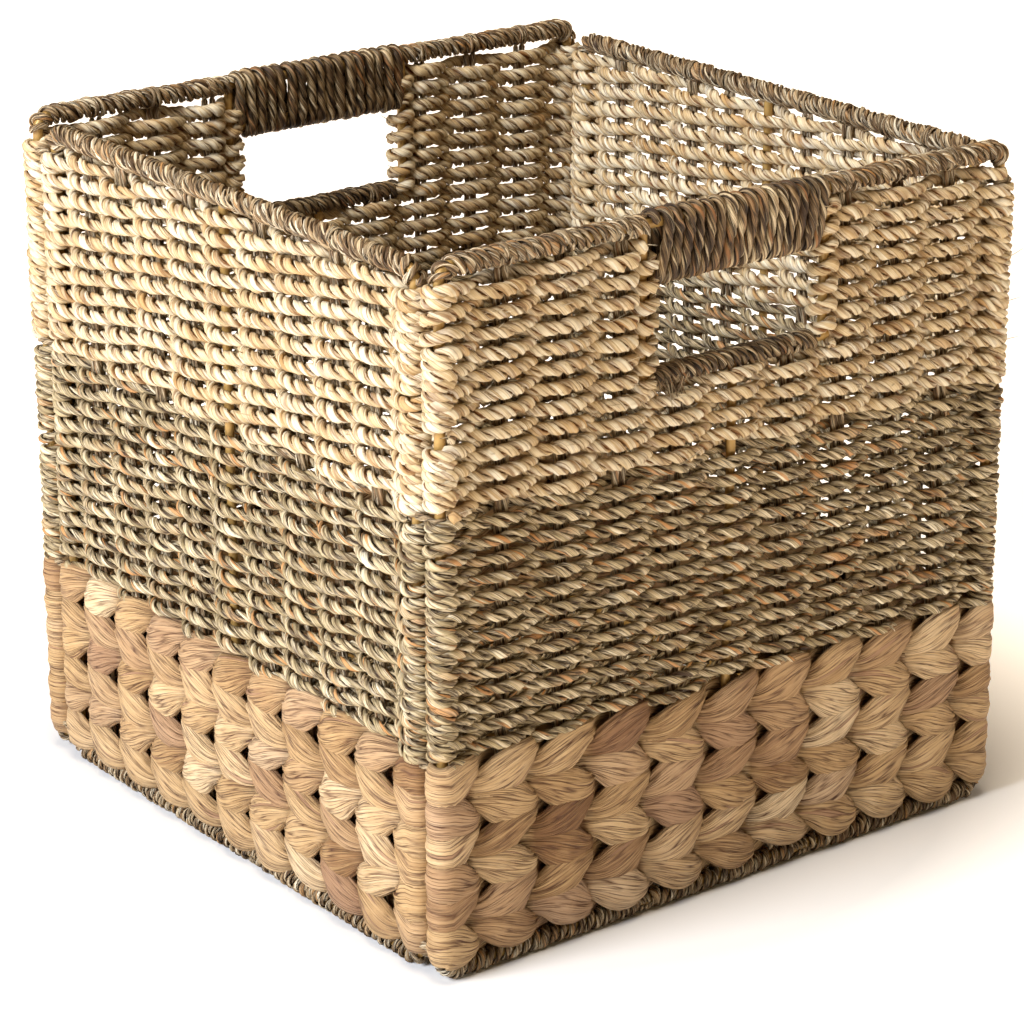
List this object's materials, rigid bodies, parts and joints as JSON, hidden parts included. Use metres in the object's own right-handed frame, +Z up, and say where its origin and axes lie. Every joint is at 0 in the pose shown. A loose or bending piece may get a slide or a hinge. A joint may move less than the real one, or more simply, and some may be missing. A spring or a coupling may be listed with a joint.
{
  "type": "storage basket",
  "caption": "Square open-topped storage basket with banded plant-fibre walls, hand holes in two walls and a base panel that lifts to let it fold.",
  "frame": {"origin": "middle of the footprint, on the floor", "axes": "+Z up; the handle panels face -Y and +Y, the plain side panels face -X and +X"},
  "size_m": [0.31, 0.31, 0.306],
  "materials": {
    "wire": "satin gold-ochre paint on steel wire",
    "stake_cord": "dark twisted seagrass cord",
    "rail_cord": "twisted seagrass strand, tan and grey-brown",
    "grip_cord": "dark olive-brown twisted seagrass",
    "tie_cord": "twisted seagrass cord",
    "corn_husk": "pale twisted corn husk rope",
    "seagrass": "green-brown twisted seagrass rope",
    "water_hyacinth": "thick dried plant stems, matt with a slight sheen"
  },
  "bodies": {
    "walls": {"front_frame": "wire", "front_stakes": "stake_cord", "front_top_wrap": "rail_cord", "front_bottom_wrap": "rail_cord", "front_grip_wrap": "grip_cord", "front_hole_wrap": "grip_cord", "front_husk_band": "corn_husk", "front_seagrass_band": "seagrass", "front_hyacinth_band": "water_hyacinth", "back_frame": "wire", "back_stakes": "stake_cord", "back_top_wrap": "rail_cord", "back_bottom_wrap": "rail_cord", "back_grip_wrap": "grip_cord", "back_hole_wrap": "grip_cord", "back_husk_band": "corn_husk", "back_seagrass_band": "seagrass", "back_hyacinth_band": "water_hyacinth", "left_frame": "wire", "left_stakes": "stake_cord", "left_top_wrap": "rail_cord", "left_bottom_wrap": "rail_cord", "left_husk_band": "corn_husk", "left_seagrass_band": "seagrass", "left_hyacinth_band": "water_hyacinth", "right_frame": "wire", "right_stakes": "stake_cord", "right_top_wrap": "rail_cord", "right_bottom_wrap": "rail_cord", "right_husk_band": "corn_husk", "right_seagrass_band": "seagrass", "right_hyacinth_band": "water_hyacinth", "front_left_ties": "tie_cord", "front_right_ties": "tie_cord", "back_left_ties": "tie_cord", "back_right_ties": "tie_cord", "base_hinge_loops": "tie_cord", "base_slings": "tie_cord"},
    "base": {"base_frame": "wire", "base_stakes": "stake_cord", "base_rim_wrap": "rail_cord", "base_mat": "seagrass"}
  },
  "joints": [
    {"name": "base_lift", "type": "hinge", "parent": "walls", "child": "base", "pos_m": [0, 0.1335, 0.01275], "axis": [-1, 0, 0], "range_deg": [0, 90]}
  ]
}
